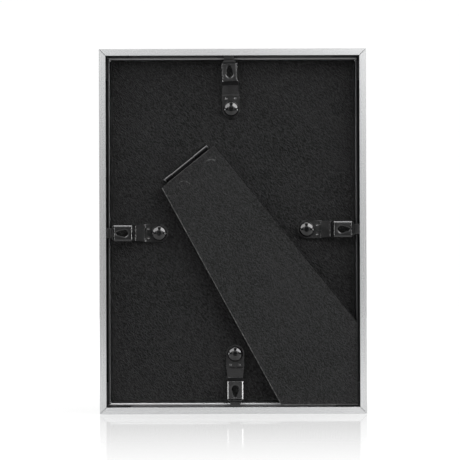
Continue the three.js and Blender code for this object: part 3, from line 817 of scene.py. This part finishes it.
# %% Strut leaf
TIGHTER_ROLL = 0.8
PIN_HOLE = 0.8
GROOVE_FROM_AXIS, GROOVE_HALF, GROOVE_DEPTH = 1.75, 0.6, 0.65
bm = eased("hinge_strut_leaf", 0.15)
for step in range(7):
    down = GROOVE_FROM_AXIS + GROOVE_HALF * (step - 3) / 3
    everything = bm.verts[:] + bm.edges[:] + bm.faces[:]
    bmesh.ops.bisect_plane(bm, geom=everything, dist=1e-8, plane_co=hinge_at - hinge_up * down * MM,
                           plane_no=hinge_up)
for v in bm.verts:
    off = v.co - hinge_at
    up, out = off.dot(hinge_up) / MM, off.y / MM
    if up > GROOVE_HALF - GROOVE_FROM_AXIS:
        roll = TIGHTER_ROLL if math.hypot(up, out) > PIN_HOLE else 1
        v.co += (hinge_up * up + Vector((0, out, 0))) * (roll - 1) * MM
    else:
        near = (up + GROOVE_FROM_AXIS) / GROOVE_HALF
        v.co.y -= GROOVE_DEPTH * MM * max(0, 1 - near ** 2)
piece = finished(bm, "rolled_strut_leaf", ["hinge_strut_leaf"], [glossy_lacquer])
print(piece.name, len(piece.data.polygons), "faces")

# %% [markdown]
# ## Strut paper
# The paper is glued over the strut and cut off flush. Wear and light on its edges could be
# painted by distance from the outline, but the outline is not a simple one. A narrow border inset
# into the face follows it by itself and gives the edge a surface of its own. The long straight
# edge, which a hand pulls on to open the strut, is the most worn, and its border is also painted
# paler as a painted highlight where the rounded edge catches the light. The border on the opposite
# edge is painted near black as a painted shadow line.

# %% Strut paper
EDGE_BORDER_WIDTH = 0.32
bm = eased("strut_cover_paper", 0.06)
back_face = max(bm.faces, key=lambda f: f.calc_area() * (f.calc_center_median().y > hinge_at.y))
border = bmesh.ops.inset_region(bm, faces=[back_face], thickness=EDGE_BORDER_WIDTH * MM, use_even_offset=True)
for face in border["faces"]:
    across = (face.calc_center_median() - hinge_at).dot(hinge_along) / MM
    # One long edge gets the pale border of wear and painted highlight. The other gets the near-black painted
    # shadow line.
    face.material_index = 1 if across > RING_SPACING else 2 if across < -RING_SPACING + 1 else 0
piece = finished(bm, "strut_paper", ["strut_cover_paper"], [fine_paper, worn_and_highlit_paper, shadow_line_paper])
print(piece.name, len(piece.data.polygons), "faces")

# %% [markdown]
# ## Floor and backdrop
# The frame stands on a pale glossy table in front of a white sweep. Both shine a little of their
# own so that they stay even and bright. The table mirrors only at a grazing angle, as a polished
# top does, and the mirror image fades away from the foot of the frame.

# %% Floor and backdrop
def stage_plane(name, matrix, size, fill):
    bm = bmesh.new()
    bmesh.ops.create_grid(bm, x_segments=1, y_segments=1, size=size / 2, matrix=matrix)
    mesh = bpy.data.meshes.new(name)
    bm.to_mesh(mesh)
    bm.free()
    t = Tree(name)
    fill(t)
    mesh.materials.append(t.material)
    plane = bpy.data.objects.new(name, mesh)
    bpy.context.scene.collection.objects.link(plane)


def glossy_table(t):
    t.surface((0.12, 0.12, 0.12), 0.9, Specular_IOR_Level=0)
    t.shader.inputs["Emission Color"].default_value = (1, 1, 1, 1)
    mirror = t.add("ShaderNodeBsdfGlossy")
    mirror.inputs["Roughness"].default_value = 0.06
    both = t.add("ShaderNodeMixShader")
    grazing = t.add("ShaderNodeFresnel")
    grazing.inputs["IOR"].default_value = 1.5
    glow = t.math("MULTIPLY", t.span(t.depth, -0.8, 0.1, 1.06, 0.97),
                  t.span(grazing.outputs[0], 0.04, 0.45, 0.55, 1.0))
    t.feed(t.shader.inputs["Emission Strength"], glow)
    fading = t.math("MULTIPLY", t.span(t.depth, 0, 0.40, 0.80, 0.10), t.span(t.depth, -0.25, 0))
    t.feed(both.inputs[0], t.math("MULTIPLY", grazing.outputs[0], fading))
    t.links.new(t.shader.outputs[0], both.inputs[1])
    t.links.new(mirror.outputs[0], both.inputs[2])
    t.links.new(both.outputs[0], t.output.inputs["Surface"])


def white_sweep(t):
    t.surface((0, 0, 0), 1, Specular_IOR_Level=0, Emission_Strength=1.02)
    t.shader.inputs["Emission Color"].default_value = (1, 1, 1, 1)


STAGE_SIZE = 6
TABLE_EDGE = 0.35
TABLE_TOP = -0.0003
SWEEP_AT = -1.2
table_middle = Matrix.Translation((0, TABLE_EDGE - STAGE_SIZE / 2, TABLE_TOP))
upright = Matrix.Translation((0, SWEEP_AT, 0)) @ Matrix.Rotation(math.radians(90), 4, "X")
stage_plane("pale_table", table_middle, STAGE_SIZE, glossy_table)
stage_plane("white_sweep", upright, STAGE_SIZE, white_sweep)
print("the table ends", TABLE_EDGE, "m behind the frame and the sweep stands", -SWEEP_AT, "m in front")

# %% [markdown]
# ## Lights
# Two soft boxes stand high on the left and right, nearer than the camera, and draw the two bright
# patches on each rivet head. A low strip on each side skims along the back and lights the sloping
# flanks of the clips, and a strip overhead lights the upper edges. Broad dim panels beside and
# above the camera are what the flat faces of the rails mirror. The gap between them, where the
# camera stands, is dark, and so are the flat tops of the rivets. The room itself is almost dark,
# so the black parts stay black.

# %% Lights
world = bpy.data.worlds.new("studio")
bpy.context.scene.world = world
world.use_nodes = True
world.node_tree.nodes["Background"].inputs["Color"].default_value = (1, 1, 1, 1)
world.node_tree.nodes["Background"].inputs["Strength"].default_value = 0.06


def soft_box(name, place_at, size, radiance, roll=0):
    lamp = bpy.data.lights.new(name, "AREA")
    lamp.shape = "RECTANGLE"
    lamp.size, lamp.size_y = size
    lamp.energy = math.pi * size[0] * size[1] * radiance
    box = bpy.data.objects.new(name, lamp)
    aim = Matrix(((Vector((0, 0, 0.09)) - Vector(place_at)).to_track_quat("-Z", "Y").to_matrix().to_4x4()))
    box.matrix_world = Matrix.Translation(place_at) @ aim @ Matrix.Rotation(math.radians(roll), 4, "Z")
    bpy.context.scene.collection.objects.link(box)


soft_box("left_soft_box", (0.58, 0.46, 0.62), (0.86, 0.54), 5.4, 42)
soft_box("right_soft_box", (-0.58, 0.46, 0.62), (0.86, 0.54), 8.6, -42)
soft_box("left_side_strip", (0.90, 0.17, 0.06), (0.24, 0.13), 24)
soft_box("right_side_strip", (-0.90, 0.17, 0.06), (0.24, 0.13), 44)
soft_box("overhead_strip", (0, 0.19, 1.05), (0.60, 0.24), 9)
soft_box("left_front_panel", (0.57, 1.35, 0.35), (0.90, 1.0), 0.56)
soft_box("right_front_panel", (-0.57, 1.35, 0.35), (0.90, 1.0), 0.90)
soft_box("high_panel", (0, 1.30, 0.66), (2.0, 0.8), 0.75)

# %% [markdown]
# ## Camera
# The camera looks straight at the back of the frame. It stands a good way off with a long lens, so
# that the sides of the frame stay parallel and hardly any of their outer faces shows.

# %% Camera
DISTANCE = 1.1
VIEW_WIDTH = 0.2381
SENSOR_WIDTH = 36
ASIDE, ABOVE = 0.0015, 0.0007
ROLL = 0.18
camera = bpy.data.cameras.new("camera")
camera.sensor_width = SENSOR_WIDTH
camera.lens = SENSOR_WIDTH * DISTANCE / VIEW_WIDTH
viewer = bpy.data.objects.new("camera", camera)
viewer.location = (ASIDE, cad_high.y + DISTANCE, cad_low.z + outer_height * MM / 2 + ABOVE)
viewer.rotation_euler = (math.radians(90), math.radians(ROLL), math.radians(180))
bpy.context.scene.collection.objects.link(viewer)
bpy.context.scene.camera = viewer
bpy.context.scene.view_settings.view_transform = "Standard"
print("camera at", [round(v, 3) for v in viewer.location])

# %% [markdown] ## Measure and finish Last, the box of the CAD model is printed. The dressed object
# should keep that box, because dressing must not change the size.

# %% Measure and finish
print("cad box", [round(v, 4) for v in (*cad_low, *cad_high)])
